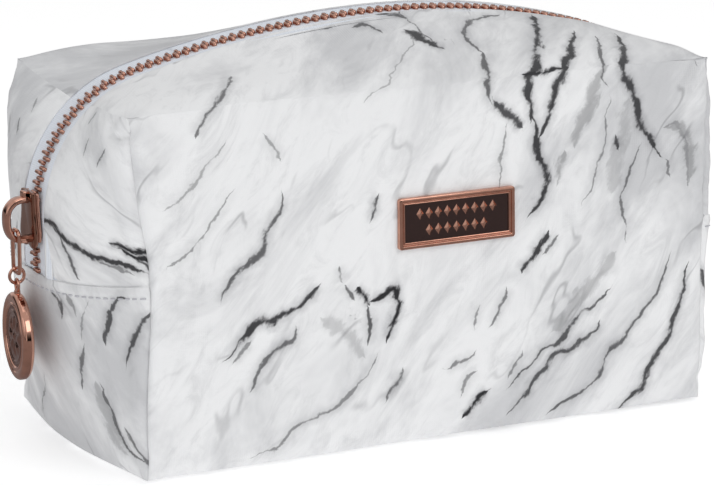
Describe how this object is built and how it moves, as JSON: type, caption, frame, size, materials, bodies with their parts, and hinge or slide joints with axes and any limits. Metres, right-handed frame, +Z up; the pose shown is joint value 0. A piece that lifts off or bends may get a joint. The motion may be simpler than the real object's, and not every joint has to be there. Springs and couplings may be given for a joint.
{
  "type": "soft zipped makeup case",
  "caption": "Boxy soft makeup case of marble-print coated fabric, with a long metal zip over its domed top, a name plate and a medallion zip pull",
  "frame": {"origin": "centre of the flat base, on the surface that the case stands on", "axes": "+Z up, +X along the case's length from the closed end of the zip (with the pull) to the other end, +Y from the front face (with the plate) to the back"},
  "size_m": [0.2269, 0.0976, 0.1234],
  "materials": {
    "outer_fabric": "coated fabric with a fine cloth emboss and a grey marble print, satin",
    "foam": "open-cell interlining foam, matt",
    "lining": "plain woven polyester lining, soft sheen",
    "zip_tape": "white woven zip tape, matt",
    "zip_teeth": "rose-gold plated, polished",
    "rose_gold": "rose-gold plated, polished",
    "plate_inlay": "dark lacquer, glossy",
    "hidden_steel": "plain",
    "thread": "white polyester thread"
  },
  "bodies": {
    "case": {"foam_back_panel": "foam", "foam_front_panel": "foam", "foam_left_end": "foam", "foam_right_end": "foam", "lining_back_panel": "lining", "lining_front_panel": "lining", "lining_left_end": "lining", "lining_right_end": "lining", "name_plate_frame": "rose_gold", "name_plate_inlay": "plate_inlay", "name_plate_washers": "hidden_steel", "outer_back_panel": "outer_fabric", "outer_front_panel": "outer_fabric", "outer_left_end": "outer_fabric", "outer_right_end": "outer_fabric", "topstitch_left_end": "thread", "topstitch_right_end": "thread", "zip_tape_back": "zip_tape", "zip_tape_front": "zip_tape", "zip_teeth_back": "zip_teeth", "zip_teeth_front": "zip_teeth"},
    "front_lip": {"foam_front_lip": "foam", "lining_front_lip": "lining", "outer_front_lip": "outer_fabric", "zip_tape_front_lip": "zip_tape", "zip_teeth_front_lip": "zip_teeth"},
    "back_lip": {"foam_back_lip": "foam", "lining_back_lip": "lining", "outer_back_lip": "outer_fabric", "zip_tape_back_lip": "zip_tape", "zip_teeth_back_lip": "zip_teeth"},
    "slider": {"slider_body": "rose_gold", "slider_bridge": "rose_gold"},
    "pull": {"pull_link": "rose_gold"},
    "ring": {"jump_ring": "rose_gold"},
    "medallion": {"medallion": "rose_gold", "medallion_face": "rose_gold"}
  },
  "joints": [
    {"name": "slider_travel", "type": "hinge", "parent": "case", "child": "slider", "pos_m": [-0.065, 0, 0.071], "axis": [0, 1, 0], "range_deg": [0, 70]},
    {"name": "pull_swing", "type": "hinge", "parent": "slider", "child": "pull", "pos_m": [-0.11348, 0, 0.0678], "axis": [0, 1, 0], "range_deg": [0, 110]},
    {"name": "ring_swing", "type": "hinge", "parent": "pull", "child": "ring", "pos_m": [-0.11348, 0, 0.0551], "axis": [0, 1, 0], "range_deg": [0, 30]},
    {"name": "medallion_swing", "type": "hinge", "parent": "ring", "child": "medallion", "pos_m": [-0.11348, 0, 0.0518], "axis": [1, 0, 0], "range_deg": [-45, 45]},
    {"name": "front_lip_opening", "type": "hinge", "parent": "case", "child": "front_lip", "pos_m": [0, -0.038, 0.1131], "axis": [1, 0, 0], "range_deg": [0, 45]},
    {"name": "back_lip_opening", "type": "hinge", "parent": "case", "child": "back_lip", "pos_m": [0, 0.038, 0.1131], "axis": [1, 0, 0], "range_deg": [-45, 0]}
  ],
  "couplings": [
    {"joint": "back_lip_opening", "follows": "front_lip_opening", "ratio": -1}
  ]
}
